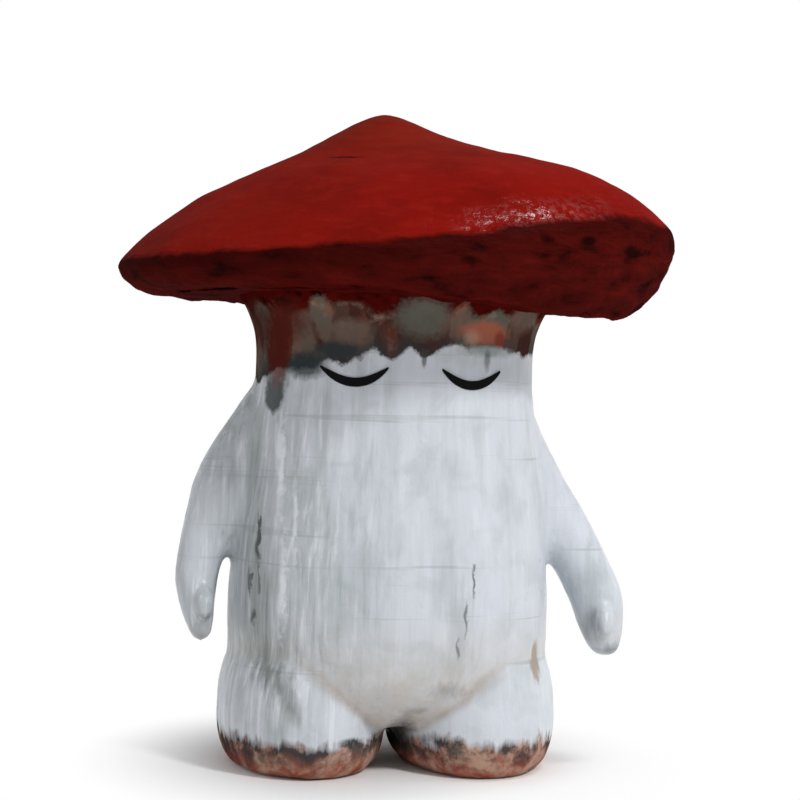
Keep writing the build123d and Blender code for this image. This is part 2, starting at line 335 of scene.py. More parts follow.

# Runs of paint from the neck, dabs on it and the dark paint with painted shade between the legs, given in
# the same way
DRIPS = (
    ("neck_maroon", (-36, -20, 135), (9, 14, 9), 0.75, 0.6),
    ("neck_brown", (-42, -8, 134), (7, 12, 12), 0.8, 0.6),
    ("slate", (-31, -25, 121.5), (7.5, 12, 5), 0.95, 0.5),
    ("slate", (-22, -31, 126.3), (9, 12, 3), 0.9, 0.5),
    ("taupe", (-19, -33, 131.8), (8.8, 12, 4.6), 0.9, 0.5),
    ("olive", (1.5, -38, 136.2), (10.5, 14, 7.6), 0.9, 0.45),
    ("terracotta", (21.3, -32.4, 132.8), (10.5, 13, 4.3), 0.95, 0.5),
    ("rose", (17, -34, 131), (3.5, 12, 3), 0.6, 0.7),
    ("brick", (26.5, -29, 130.5), (2.4, 12, 3.5), 0.85, 0.5),
    ("body_grey", (23, -30, 127), (13, 14, 2.2), 0.9, 0.6),
    ("taupe", (35, -24, 137.5), (7.5, 14, 5.5), 0.8, 0.6),
    ("terracotta", (30, 24, 132), (12, 16, 4), 0.7, 0.7),
    ("slate", (-38.8, -16.5, 119), (4.6, 12, 9), 0.75, 0.5),
    ("slate", (-39.2, -16.5, 112.5), (3, 12, 6), 1.0, 0.3),
    ("neck_maroon", (-38.4, -17, 127), (4, 12, 13.5), 0.95, 0.35),
    ("slate", (2.4, -36, 124.5), (1.0, 9, 3.6), 0.75, 0.5),
    ("slate", (22.5, -31, 124.5), (1.5, 9, 4.2), 0.6, 0.6),
    # Dark paint with painted shade between the legs
    ("shade", (1, -6, 11), (6, 42, 12), 0.9, 0.6),
)

# Heights over the floor where a glaze starts and is full, as inputs 1 and 2 of a ramp
WORN_PEAK = {1: 0.176, 2: 0.2}
NECK_MAROON = {1: 0.1445, 2: 0.147}
NECK_FRINGE = {1: 0.1315, 2: 0.1255}
NECK_PAINT = {1: 0.1238, 2: 0.1252}
BELLY_WASH_AND_SHADE = {1: 0.05, 2: 0.016}
FOOT_PAINT = {1: 0.022, 2: 0.0192}
FOOT_RING = {1: 0.0125, 2: 0.0178}

# The same for heights over the cap's rim
WET_RIDGE = {1: 0.0075, 2: 0.003}
RIM_MAROON = {1: 0.0036, 2: 0.0018}
RIM_BAND = {1: -0.006, 2: 0.002}

# The same for distances to the figure's own left
WORN_SIDE = {1: 0.0, 2: -0.08}
SHADED_SIDE = {1: 0.0, 2: -0.042}
SLANT_SIDE = {1: -0.01, 2: -0.036}
FRINGE_SIDE = {1: 0.03, 2: -0.005}
WET_START = {1: 0.0, 2: 0.02}
WET_END = {1: 0.054, 2: 0.034}

# How much lower the neck's paint ends on the shaded side
NECK_SLANT = 0.009

# Shader nodes that are used often; RAMP maps the value in socket 0 from the span 1 to 2 to the span 3 to 4
COORDINATES = "ShaderNodeTexCoord"
STORED = "ShaderNodeAttribute"
SPLIT = "ShaderNodeSeparateXYZ"
SCALED = "ShaderNodeMapping"
NOISE = "ShaderNodeTexNoise"
RAMP = "ShaderNodeMapRange"
MATH = "ShaderNodeMath"
VECTOR = "ShaderNodeVectorMath"
MIX = "ShaderNodeMix"
BUMP = "ShaderNodeBump"


def length(name, description, default):
    """A property that holds a size in metres."""
    return FloatProperty(
        name=name, description=description, default=default, subtype="DISTANCE", unit="LENGTH"
    )


def angle(name, description, degrees):
    """A property that holds an angle."""
    return FloatProperty(
        name=name, description=description, default=radians(degrees), subtype="ANGLE", unit="ROTATION"
    )


def power(name, description, default):
    """A property that holds a lamp's power."""
    return FloatProperty(name=name, description=description, default=default, unit="POWER")


def number(name, description, default):
    """A property that holds a plain number."""
    return FloatProperty(name=name, description=description, default=default)


def colour(name, description, default):
    """A property that holds an sRGB colour as a hex value."""
    return StringProperty(name=name, description=description, default=default)


class CapSizes(bpy.types.PropertyGroup):
    """Sizes of the cap."""

    width: length("Width", "Width of the brim", CAP_HIGH.x - CAP_LOW.x)
    depth: length("Depth", "Depth of the brim", CAP_HIGH.y - CAP_LOW.y)
    peak_height: length("Peak height", "Height of the peak over the floor", CAP_HIGH.z)
    rim_height: length("Rim height", "Height of the rim over the floor, away from the lobe", 0.1525)
    peak_shift: length("Peak shift", "How far the peak stands off the middle", -0.005)
    lobe: length("Lobe", "How far the rim rises at the lobe", 0.013)
    lobe_turn: angle("Lobe turn", "Where the lobe is", -38)
    lobe_narrowness: number("Lobe narrowness", "Higher for a narrower lobe", 5.0)
    wave: length("Wave", "Height of the rim's two waves", 0.0012)
    wave_turn: angle("Wave turn", "Where the rim's wave is highest", -50)
    seam_inset: length("Seam inset", "Distance of the underside's seam from the rim", 0.017)
    seam_drop: length("Seam drop", "Depth of the underside's seam below the rim", 0.0095)
    seam_lift: number("Seam lift", "Share of the rim's rise that the seam takes", -0.4)
    plate: length("Plate", "Thickness of the underside plate", 0.007)
    lump_size: length("Lump size", "Size of the uneven places left by the hand", 0.03)
    lump_height: length("Lump height", "Height of the uneven places left by the hand", 0.0026)
    dent_size: length("Dent size", "Size of the fine dents in the top", 0.011)
    dent_height: length("Dent height", "Height of the fine dents in the top", 0.0005)
    torn_size: length("Torn size", "Size of the torn places under the rim", 0.01)
    torn_height: length("Torn height", "Height of the torn places under the rim", 0.0022)


class BodySizes(bpy.types.PropertyGroup):
    """Sizes of the body's skin."""

    grid: length("Skin grid", "Grid on which the body and limbs are fused", 0.0011)
    arm_blend: length("Arm blend", "Reach of the slip smoothed round a shoulder", 0.009)
    leg_blend: length("Leg blend", "Reach of the slip smoothed round a leg", 0.0035)
    lump_size: length("Lump size", "Size of the uneven places left by the hand", 0.026)
    lump_height: length("Lump height", "Height of the uneven places left by the hand", 0.0014)
    dent_size: length("Dent size", "Size of the fine dents", 0.009)
    dent_height: length("Dent height", "Height of the fine dents", 0.0005)


class EyeSizes(bpy.types.PropertyGroup):
    """Sizes of the eyes."""

    height: length("Height", "Height of the eyes over the floor", 0.1195)
    spacing: length("Spacing", "Distance between the eyes' middles", 0.035)
    width: length("Width", "Width of an eye", 0.019)
    sag: length("Sag", "How far the middle of a lid hangs below its ends", 0.0044)
    thickness: length("Thickness", "Height of the lid's line at its middle", 0.0027)
    slip: length("Slip", "Thickness of the slip", 0.0016)
    edge: length("Edge", "Width of the slip's rounded edge", 0.0003)


class GlazeColours(bpy.types.PropertyGroup):
    """Colours of the glazes, as sRGB hex values."""

    cap: colour("Cap", "Red glaze on top of the cap", "#78100A")
    cap_dark: colour("Cap, thick", "Red glaze where it lies thick", "#600D08")
    cap_bright: colour("Cap, thin", "Red glaze where the brush left it thin", "#8A1B13")
    cap_brown: colour("Cap, worn", "Brown of the worn red glaze", "#632415")
    underside: colour("Underside", "Maroon glaze under the cap", "#460B08")
    # Dark maroon glaze, also laid as painted shade in the pits
    underside_pit: colour("Underside, pits", "Maroon glaze in the pits", "#1A0302")
    underside_crest: colour("Underside, crests", "Maroon glaze on the crests", "#5E120D")
    body: colour("Body", "White glaze on the body", "#CDD2DA")
    body_grey: colour("Body, grey strokes", "Grey brush strokes in the white glaze", "#9FA8A9")
    # Grime, and painted shade on the body's shaded side
    grime: colour("Grime", "Grey-green grime on the body's side", "#848C8A")
    # Bright strokes, and painted highlights on ridges of thick glaze
    body_light: colour("Body, light strokes", "Bright brush strokes in the white glaze", "#E3E7EC")
    # Dirt, and painted shade between arm and body and in the fold over the legs
    dirt: colour("Dirt", "Dirt rubbed into the glaze", "#646760")
    # Tan wash, and painted shade under the belly
    wash: colour("Wash", "Tan wash under the belly", "#BDAF9D")
    # Smear, and painted shade in the fold
    smear: colour("Smear", "Brown smear on the hip, on the neck and in the fold", "#9A8A79")
    slate: colour("Slate", "Slate paint on the neck, round the feet and in cracks", "#363E40")
    neck_brown: colour("Neck brown", "Dark brown paint on the neck", "#4A2C25")
    taupe: colour("Taupe", "Grey-brown paint on the neck", "#6B5C52")
    olive: colour("Olive", "Olive-grey paint on the neck", "#5F5E55")
    neck_maroon: colour("Neck maroon", "Maroon glaze that ran down on the neck", "#56211B")
    terracotta: colour("Terracotta", "Terracotta paint on the neck and feet", "#A3604A")
    brick: colour("Brick", "Brick-red paint on the neck and feet", "#84392D")
    rose: colour("Rose", "Pale rose paint on the neck and feet", "#B08E7D")
    # Dark paint, and painted shade between the legs
    shade: colour("Shade", "Dark paint between the legs", "#2C2820")
    eye: colour("Eye", "Black slip in the eyes", "#070708")
    eye_sheen: colour("Eye, sheen", "Black slip where the brush left it thin", "#100F0F")
    floor: colour("Floor", "Floor of the stage", "#F2F2F2")


class StageSizes(bpy.types.PropertyGroup):
    """Camera and lights."""

    camera_distance: length("Camera distance", "Distance of the camera from the figure's axis", 0.56)
    camera_height: length("Camera height", "Height of the camera over the floor", 0.112)
    camera_turn: angle("Camera turn", "Turn of the camera round the figure", -10)
    camera_roll: angle("Camera roll", "Roll of the camera", -1.6)
    camera_shift: number("Camera shift", "Share of the picture by which it is shifted sideways", 0.008)
    view_angle: angle("View angle", "Angle of view across the picture", 25.1)
    key_power: power("Key", "Power of the main lamp", 7.0)
    fill_power: power("Fill", "Power of the second lamp", 0.9)
    strip_power: power("Strip", "Power of the strip overhead", 2.8)
    room_light: number("Room", "Strength of the light from all round", 0.38)


def linear(text):
    """Turns an sRGB hex value into a linear colour."""
    shares = [int(text[place : place + 2], 16) / 255 for place in (1, 3, 5)]
    return [s / 12.92 if s <= 0.04045 else ((s + 0.055) / 1.055) ** 2.4 for s in shares] + [1.0]


def grain(size_mm):
    """Texture scale that gives a pattern features of this size in millimetres."""
    return 1000 / size_mm


def smoothstep(value):
    """Eases a number from 0 to 1."""
    share = min(1, max(0, value))
    return share * share * (3 - 2 * share)


def fill(node, inputs):
    """Links or fills the inputs of a node."""
    for socket, value in inputs.items():
        if isinstance(value, bpy.types.NodeSocket):
            node.id_data.links.new(value, node.inputs[socket])
        else:
            node.inputs[socket].default_value = value


def add(tree, kind, inputs=None, out=0, **settings):
    """Adds a node with its settings, links or fills its inputs, and returns one of its outputs."""
    node = tree.nodes.new(kind)
    for name, value in settings.items():
        setattr(node, name, value)
    fill(node, inputs or {})
    return node.outputs[out]


def new_material(name):
    """Starts a material, and returns it with a function that adds nodes to it, and its shader."""
    material = bpy.data.materials.new(name)
    material.use_nodes = True
    shader = next(node for node in material.node_tree.nodes if node.type == "BSDF_PRINCIPLED")
    return material, partial(add, material.node_tree), shader


def tint(colours, tone):
    """The linear colour of a glaze given by its name, or a mix as it is."""
    return linear(getattr(colours, tone)) if isinstance(tone, str) else tone


def paint(put, colours, base, layers):
    """Lays glazes over a base, each through its own mask."""
    mixed = tint(colours, base)
    for mask, tone in layers:
        mixed = put(MIX, {0: mask, 6: mixed, 7: tint(colours, tone)}, out=2, data_type="RGBA")
    return mixed


def washes(put, rows):
    """Layers that come in over a span of a pattern: pattern, start, end, strength, glaze."""
    layers = []
    for pattern, start, end, strength, tone in rows:
        layers.append((put(RAMP, {0: pattern, 1: start, 2: end, 4: strength}), tone))
    return layers


def spots(put, place, ragged, tear, marks):
    """Layers for marks that lie on the surface at their own places, with edges torn by a pattern."""
    rim = 1 + tear / 2
    layers = []
    for tone, middle, reach, strength, soft in marks:
        scale = [1 / (size * MM) for size in reach]
        shift = [-at * MM * by for at, by in zip(middle, scale)]
        near = put(SCALED, {"Vector": place, "Location": shift, "Scale": scale})
        far = put(VECTOR, {0: near}, out="Value", operation="LENGTH")
        torn = put(MATH, {0: ragged, 1: tear, 2: far}, operation="MULTIPLY_ADD")
        layers.append((put(RAMP, {0: torn, 1: rim, 2: rim - soft, 4: strength}), tone))
    return layers


def tear_edge(put, place, *tears):
    """A height made ragged by patterns, each given with its reach."""
    for pattern, reach in tears:
        place = put(MATH, {0: pattern, 1: reach, 2: place}, operation="MULTIPLY_ADD")
    return place


# Glaze brushed on a rough clay cap: red and glassy on top with the brush's tracks in it, where thin it
# lets the brown clay show, and under the rim it runs out to a dull maroon over torn, pitted clay
def cap_glaze(colours):
    """Red glaze on top of the cap that turns to pitted maroon below the rim."""
    material, put, shader = new_material("red_brushed_glaze")
    place = put(COORDINATES, out="Object")
    across = put(SPLIT, {0: place}, out="X")
    height = put(SPLIT, {0: place}, out="Z")
    rim = put(STORED, out="Fac", attribute_name="over_rim")
    flat = put(SCALED, {"Vector": place, "Scale": (0.5, 0.5, 1.6)})
    pools = put(NOISE, {"Vector": place, "Scale": grain(24), "Detail": 3.0})
    tracks = put(NOISE, {"Vector": flat, "Scale": grain(3.5), "Detail": 4.0, "Roughness": 0.6})
    speck = put(NOISE, {"Vector": place, "Scale": grain(1.6), "Detail": 2.0})
    tears = {"Scale": grain(6.5), "Detail": 5.0, "Roughness": 0.58, "Distortion": 0.3}
    torn = put(NOISE, {"Vector": flat} | tears)

    # The red lies thick in pools and thin in the brush's tracks, and is worn at the peak and one side
    peak = put(RAMP, {0: height} | WORN_PEAK)
    side = put(RAMP, {0: across, 4: 0.35} | WORN_SIDE)
    worn = put(MATH, {0: peak, 1: side}, operation="ADD")
    worn = put(MATH, {0: worn, 1: tracks}, operation="MULTIPLY")
    layers = washes(put, ((pools, 0.46, 0.7, 0.7, "cap_dark"), (tracks, 0.5, 0.76, 0.5, "cap_bright")))
    layers += [(worn, "cap_brown")] + spots(put, place, speck, 1.2, SCRATCHES)
    red = paint(put, colours, "cap", layers)

    # The maroon starts in a ragged dark band below the rim
    ragged = tear_edge(put, rim, (torn, 0.005))
    under = put(RAMP, {0: ragged} | RIM_MAROON)
    band = put(RAMP, {0: ragged, 4: 0.55} | RIM_BAND)
    layers = washes(put, ((torn, 0.5, 0.7, 0.7, "underside_crest"),)) + [(band, "underside_pit")]
    layers += washes(put, ((torn, 0.46, 0.3, 0.9, "underside_pit"),))
    layers += spots(put, place, torn, 2.0, PITS)
    maroon = paint(put, colours, "underside", layers)
    base = paint(put, colours, red, ((under, maroon),))

    # Fine relief follows the brush, and deep relief the torn clay
    relief = put(MATH, {0: speck, 1: 0.5, 2: tracks}, operation="MULTIPLY_ADD")
    fine = put(BUMP, {"Strength": 0.5, "Distance": 0.0005, "Height": relief})
    deep = put(MATH, {0: torn, 1: under}, operation="MULTIPLY")
    bump = put(BUMP, {"Strength": 1.0, "Distance": 0.0022, "Height": deep, "Normal": fine})

    # The glaze shines in broken spots along the ridge over the rim, on one side
    gloss = put(RAMP, {0: tracks, 1: 0.35, 2: 0.65, 3: 0.08, 4: 0.24})
    rough = put(MIX, {0: under, 2: gloss, 3: 0.5}, data_type="FLOAT")
    right = put(RAMP, {0: across, 4: 0.4} | WET_START)
    end = put(RAMP, {0: across} | WET_END)
    ridge = put(RAMP, {0: rim} | WET_RIDGE)
    ridge = put(MATH, {0: ridge, 1: end}, operation="MULTIPLY")
    broken = put(RAMP, {0: speck, 1: 0.46, 2: 0.56})
    ridge = put(MATH, {0: ridge, 1: broken}, operation="MULTIPLY")
    wet = put(MATH, {0: ridge, 1: right, 2: 0.02}, operation="MULTIPLY_ADD")
    coat = put(MIX, {0: under, 2: wet, 3: 0.03}, data_type="FLOAT")
    wanted = {"Base Color": base, "Roughness": 0.6, "Specular IOR Level": 0.0, "Normal": bump}
    wanted |= {"Coat Weight": coat, "Coat Roughness": rough, "Coat Normal": bump}
    fill(shader, wanted)
    return material


# White glaze brushed up and down over buff clay: milky and half glossy, with grey and bright brush tracks,
# ridges with painted highlights, dirt and painted shade in the creases, a neck dabbed with paint that ran,
# and dull painted feet
def body_glaze(colours):
    """Brushed white glaze with painted neck and feet."""
    material, put, shader = new_material("white_brushed_glaze")
    place = put(COORDINATES, out="Object")
    across = put(SPLIT, {0: place}, out="X")
    height = put(SPLIT, {0: place}, out="Z")
    crease = put(STORED, out="Fac", attribute_name="crease")
    leg = put(STORED, out="Fac", attribute_name="leg")
    upright = put(SCALED, {"Vector": place, "Scale": (1.0, 1.0, 0.08)})
    columns = put(SCALED, {"Vector": place, "Scale": (1.0, 1.0, 0.3)})
    level = put(SCALED, {"Vector": place, "Scale": (0.03, 0.03, 1.0)})
    tracks = put(NOISE, {"Vector": upright, "Scale": grain(2.2), "Detail": 4.0, "Roughness": 0.6})
    strokes = put(NOISE, {"Vector": upright, "Scale": grain(7), "Detail": 3.0})
    lines = put(NOISE, {"Vector": level, "Scale": grain(4), "Detail": 3.0, "Roughness": 0.7})
    blots = put(NOISE, {"Vector": place, "Scale": grain(11), "Detail": 3.0, "Distortion": 0.6})
    mottle = put(NOISE, {"Vector": place, "Scale": grain(6), "Detail": 6.0, "Roughness": 0.62})
    fleck = put(NOISE, {"Vector": place, "Scale": grain(2), "Detail": 4.0, "Roughness": 0.6})

    # Cells bent by a wobble, each with its own tone, are the dabs of the brush
    wobble = put(NOISE, {"Vector": place, "Scale": grain(4), "Detail": 3.0}, out="Color")
    wobble = put(VECTOR, {0: wobble, 1: (0.5, 0.5, 0.5)}, operation="SUBTRACT")
    bend = {0: wobble, 1: (0.003, 0.003, 0.003)}
    bent = put(VECTOR, bend | {2: columns}, operation="MULTIPLY_ADD")
    winding = put(VECTOR, bend | {2: place}, operation="MULTIPLY_ADD")
    cells = {"Vector": bent, "Scale": grain(9), "Smoothness": 0.35, "Randomness": 0.9}
    dabs = put("ShaderNodeTexVoronoi", cells, feature="SMOOTH_F1")
    tone = dabs.node.outputs["Color"]

    # Brush tracks are strongest on the shaded side, where their grey also paints some of that side's shade
    left = put(RAMP, {0: across, 3: 0.25} | SHADED_SIDE)
    grey_strokes = put(RAMP, {0: strokes, 1: 0.48, 2: 0.7, 4: 0.8})
    light_tracks = put(RAMP, {0: tracks, 1: 0.53, 2: 0.7, 4: 0.9})
    grey_tracks = put(RAMP, {0: tracks, 1: 0.44, 2: 0.3, 4: 0.7})
    level_lines = put(RAMP, {0: lines, 1: 0.62, 2: 0.67, 4: 0.9})
    off_leg = put(MATH, {0: 1.0, 1: leg}, operation="SUBTRACT")
    # The belly is darker towards its bottom: a tan wash that also paints the shade under the belly
    low = put(RAMP, {0: height, 4: 1.2} | BELLY_WASH_AND_SHADE)
    belly = put(MATH, {0: low, 1: off_leg}, operation="MULTIPLY")
    layers = washes(put, ((blots, 0.48, 0.7, 0.35, "body_grey"),))
    for pattern, where, glaze in (
        (grey_strokes, left, "body_grey"),
        (light_tracks, left, "body_light"),
        (grey_tracks, left, "body_grey"),
        (level_lines, strokes, "body_grey"),
        (belly, mottle, "wash"),
        # Smear and painted shade in the fold between belly and legs
        (crease, mottle, "smear"),
    ):
        layers.append((put(MATH, {0: pattern, 1: where}, operation="MULTIPLY"), glaze))
    layers += spots(put, place, tracks, 1.4, SMUDGES)
    layers += spots(put, winding, fleck, 1.6, CRACKS)
    white = paint(put, colours, "body", layers)

    # The neck's paint ends in ragged dabs, lower on the shaded side
    edge = tear_edge(put, height, (dabs, -0.009), (fleck, 0.004))
    slant = put(RAMP, {0: across, 4: NECK_SLANT} | SLANT_SIDE)
    edge = put(MATH, {0: edge, 1: slant}, operation="ADD")
    neck = put(RAMP, {0: edge} | NECK_PAINT)
    fringe = put(RAMP, {0: edge, 4: 0.95} | NECK_FRINGE)
    fringe_side = put(RAMP, {0: across, 3: 0.2, 4: 0.8} | FRINGE_SIDE)
    fringe = put(MATH, {0: fringe, 1: fringe_side}, operation="MULTIPLY")
    rows = (
        (tone, 0.34, 0.5, 0.9, "taupe"),
        (tone, 0.52, 0.66, 0.9, "olive"),
        (strokes, 0.54, 0.68, 0.4, "terracotta"),
        (mottle, 0.55, 0.7, 0.5, "smear"),
    )
    neck_paint = paint(put, colours, "neck_brown", washes(put, rows) + [(fringe, "slate")])

    # The cap's maroon runs down into the neck
    top = tear_edge(put, height, (dabs, 0.011), (fleck, 0.004))
    maroon = put(RAMP, {0: top} | NECK_MAROON)
    rows = ((mottle, 0.5, 0.36, 0.9, "underside_pit"), (mottle, 0.54, 0.7, 0.6, "underside_crest"))
    maroon_paint = paint(put, colours, "underside", washes(put, rows))

    # The feet's paint starts in slate strokes and goes over to brick and terracotta
    foot_edge = tear_edge(put, height, (blots, 0.013), (tracks, 0.006))
    foot = put(RAMP, {0: foot_edge} | FOOT_PAINT)
    ring = put(RAMP, {0: foot_edge, 4: 0.9} | FOOT_RING)
    ring_gaps = put(RAMP, {0: mottle, 1: 0.4, 2: 0.54})
    ring = put(MATH, {0: ring, 1: ring_gaps}, operation="MULTIPLY")
    rows = (
        (mottle, 0.44, 0.58, 0.85, "terracotta"),
        (blots, 0.5, 0.62, 0.65, "brick"),
        (blots, 0.45, 0.34, 0.75, "olive"),
        (tracks, 0.44, 0.3, 0.5, "brick"),
    )
    foot_paint = paint(put, colours, "rose", washes(put, rows) + [(ring, "slate")])
    layers = [(neck, neck_paint), (maroon, maroon_paint), (foot, foot_paint)]
    base = paint(put, colours, white, layers + spots(put, place, fleck, 0.6, DRIPS))

    # The white is half glossy, and the painted neck and feet are dull
    painted = put(MATH, {0: neck, 1: foot}, operation="MAXIMUM")
    relief = put(MATH, {0: fleck, 1: 0.5, 2: tracks}, operation="MULTIPLY_ADD")
    fine = put(BUMP, {"Strength": 0.4, "Distance": 0.0004, "Height": relief})
    bump = put(BUMP, {"Strength": 0.4, "Distance": 0.0008, "Height": mottle, "Normal": fine})
    gloss = put(RAMP, {0: mottle, 1: 0.3, 2: 0.7, 3: 0.25, 4: 0.45})
    shine = put(RAMP, {0: painted, 3: 0.3, 4: 0.0})
    coat = put(RAMP, {0: painted, 3: 0.1, 4: 0.0})
    wanted = {"Base Color": base, "Roughness": gloss, "Specular IOR Level": shine, "Normal": bump}
    wanted |= {"Coat Weight": coat, "Coat Roughness": 0.15, "Coat Normal": bump}
    fill(shader, wanted)
    return material


# Black slip brushed into a groove: almost flat black, with a soft shine broken by the brush
def eye_slip(colours):
    """Black slip of the eyes."""
    material, put, shader = new_material("black_slip")
    place = put(COORDINATES, out="Object")
    fine = put(NOISE, {"Vector": place, "Scale": grain(1.2), "Detail": 3.0})
    base = paint(put, colours, "eye", ((fine, "eye_sheen"),))
    rough = put(RAMP, {0: fine, 1: 0.3, 2: 0.7, 3: 0.3, 4: 0.5})
    bump = put(BUMP, {"Strength": 0.5, "Distance": 0.0003, "Height": fine})
    wanted = {"Base Color": base, "Roughness": 0.6, "Specular IOR Level": 0.0, "Normal": bump}
    wanted |= {"Coat Weight": 0.1, "Coat Roughness": rough, "Coat Normal": bump}
    fill(shader, wanted)
    return material


def choose(piece, *others):
    """Selects only these pieces, with the first as the active one."""
    bpy.ops.object.select_all(action="DESELECT")
    for chosen in (piece, *others):
        chosen.select_set(True)
    bpy.context.view_layer.objects.active = piece


def new_piece(name):
    """Adds an empty piece at the origin, as the only thing selected."""
    bpy.ops.object.select_all(action="DESELECT")
    bpy.ops.object.add(type="MESH", location=(0, 0, 0))
    piece = bpy.context.object
    piece.name = name
    piece.data.name = name
    return piece


def pick(piece, numbers):
    """Selects only these vertices of the piece that is being edited."""
    bpy.ops.mesh.select_all(action="DESELECT")
    skin = bmesh.from_edit_mesh(piece.data)
    skin.verts.ensure_lookup_table()
    for number in numbers:
        skin.verts[number].select = True
    skin.select_flush(True)
    bmesh.update_edit_mesh(piece.data)


def pull_rings(name, rings, around):
    """Bridges a closed skin over rings, each given as its centre, turn, width and depth."""
    piece = new_piece(name)
    bpy.ops.object.mode_set(mode="EDIT")
    bpy.ops.mesh.select_mode(type="VERT")
    # With no window, the rotate operator turns the other way
    for centre, turn, width, depth in rings:
        bpy.ops.mesh.primitive_circle_add(vertices=around, radius=0.5)
        bpy.ops.transform.resize(value=(width, depth, 1), center_override=(0, 0, 0))
        bpy.ops.transform.rotate(value=-turn, orient_axis="Y", center_override=(0, 0, 0))
        bpy.ops.transform.translate(value=centre)
    for low in range(len(rings) - 1):
        pick(piece, range(low * around, (low + 2) * around))
        bpy.ops.mesh.bridge_edge_loops()
    for end in (0, len(rings) - 1):
        pick(piece, range(end * around, (end + 1) * around))
        bpy.ops.mesh.edge_face_add()
    bpy.ops.mesh.select_all(action="SELECT")
    bpy.ops.mesh.normals_make_consistent(inside=False)
    bpy.ops.object.mode_set(mode="OBJECT")
    return piece


def level_rings(table, across=0.0):
    """Level rings from a table of heights, widths and depths in millimetres."""
    return [(Vector((across, 0, z * MM)), 0, w * MM, d * MM) for z, w, d in table]


def apply_modifier(piece, kind, **settings):
    """Adds a modifier with its settings to a piece and applies it."""
    bpy.context.view_layer.objects.active = piece
    modifier = piece.modifiers.new(kind.title(), kind)
    for name, value in settings.items():
        setattr(modifier, name, value)
    bpy.ops.object.modifier_apply(modifier=modifier.name)


def raise_lumps(piece, size, height, group=""):
    """Pushes the skin in and out by clouds of this size."""
    clouds = bpy.data.textures.new("clouds", "CLOUDS")
    clouds.noise_scale = size
    clouds.noise_depth = 2
    apply_modifier(
        piece,
        "DISPLACE",
        texture=clouds,
        texture_coords="LOCAL",
        strength=height,
        mid_level=0.5,
        vertex_group=group,
    )
    bpy.data.textures.remove(clouds)


def weigh(piece, name, share):
    """Adds a vertex group whose weights come from a function of the place."""
    group = piece.vertex_groups.new(name=name)
    for vertex in piece.data.vertices:
        weight = share(vertex.co)
        if weight > 0:
            group.add([vertex.index], weight, "REPLACE")


def store(piece, name, share):
    """Stores a function of the place on each vertex, for the glaze."""
    values = [share(vertex.co) for vertex in piece.data.vertices]
    piece.data.attributes.new(name, "FLOAT", "POINT").data.foreach_set("value", values)


def finish_piece(piece, material, slot, *nodes):
    """Gives a finished mesh its material and its place on the CAD frame."""
    choose(piece)
    bpy.ops.object.shade_smooth_by_angle(angle=SHARP_ANGLE)
    piece.vertex_groups.clear()
    piece.data.materials.clear()
    piece.data.materials.append(material)
    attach(piece, "root")
    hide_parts(*nodes)


def brim_lift(cap, at):
    """How far the rim rises next to a place."""
    turn = atan2(at.y / cap.depth, at.x / cap.width)
    lobe = cap.lobe * ((1 + cos(turn - cap.lobe_turn)) / 2) ** cap.lobe_narrowness
    return lobe + cap.wave * cos(2 * (turn - cap.wave_turn))


def over_rim(cap, at):
    """Height of a place over the rim next to it."""
    return at.z - cap.rim_height - brim_lift(cap, at)


def dome_rings(cap, table):
    """Rings given as shares of the brim's size and of the dome's rise, each with its share of the lift."""
    rise = cap.peak_height - cap.rim_height
    rings = []
    for out, up, lift in table:
        centre = Vector(((1 - out) * cap.peak_shift, 0, cap.rim_height + up * rise))
        rings.append(((centre, 0, out * cap.width, out * cap.depth), lift))
    return rings


def brim_ring(cap, inset, drop, lift):
    """A ring that keeps its distance from the rim, with its share of the lift."""
    size = (cap.width - 2 * inset, cap.depth - 2 * inset)
    return (Vector((0, 0, cap.rim_height - drop)), 0, *size), lift


def seam_rings(cap, table, let_in=0.0):
    """Rings given by their place over the seam between the top and the underside."""
    rings = []
    for inset, plates, raised, lift in table:
        drop = cap.seam_drop - let_in - plates * cap.plate - raised
        rings.append(brim_ring(cap, cap.seam_inset + inset, drop, lift * cap.seam_lift))
    return rings


def pull_cap(name, cap, rings, around):
    """A rounded, uneven skin over rings that are lifted with the brim."""
    piece = pull_rings(name, [ring for ring, lift in rings], around)
    for vertex in piece.data.vertices:
        vertex.co.z += rings[vertex.index // around][1] * brim_lift(cap, vertex.co)
    apply_modifier(piece, "SUBSURF", levels=3, render_levels=3)
    store(piece, "over_rim", lambda at: over_rim(cap, at))
    raise_lumps(piece, cap.lump_size, cap.lump_height)
    return piece


class FIGURE_OT_cap_top(bpy.types.Operator):
    """Model the hollow cap with its raised lobe"""

    bl_idname = "figure.cap_top"
    bl_label = "Cap top"

    def execute(self, context):
        cap = context.scene.figure_cap
        rings = dome_rings(cap, DOME_RINGS)
        rings += [brim_ring(cap, *ring) for ring in LIP_RINGS]
        rings += seam_rings(cap, REBATE_RINGS)
        rings += dome_rings(cap, HOLLOW_RINGS)
        piece = pull_cap("cap_top_glazed", cap, rings, CAP_AROUND)
        raise_lumps(piece, cap.dent_size, cap.dent_height)
        weigh(piece, "torn", lambda at: smoothstep((TORN_START - over_rim(cap, at)) / TORN_FADE))
        raise_lumps(piece, cap.torn_size, cap.torn_height, "torn")
        finish_piece(piece, cap_glaze(context.scene.figure_glazes), "cap_glaze", "cap_top")
        return {"FINISHED"}


class FIGURE_OT_cap_underside(bpy.types.Operator):
    """Model the torn plate that closes the cap from below"""

    bl_idname = "figure.cap_underside"
    bl_label = "Cap underside"

    def execute(self, context):
        cap = context.scene.figure_cap
        rings = seam_rings(cap, PLATE_RINGS, PLATE_LET_IN)
        piece = pull_cap("cap_underside_glazed", cap, rings, PLATE_AROUND)
        raise_lumps(piece, cap.torn_size, cap.torn_height)
        glaze = bpy.data.materials["red_brushed_glaze"]
        finish_piece(piece, glaze, "underside_glaze", "cap_underside")
        return {"FINISHED"}


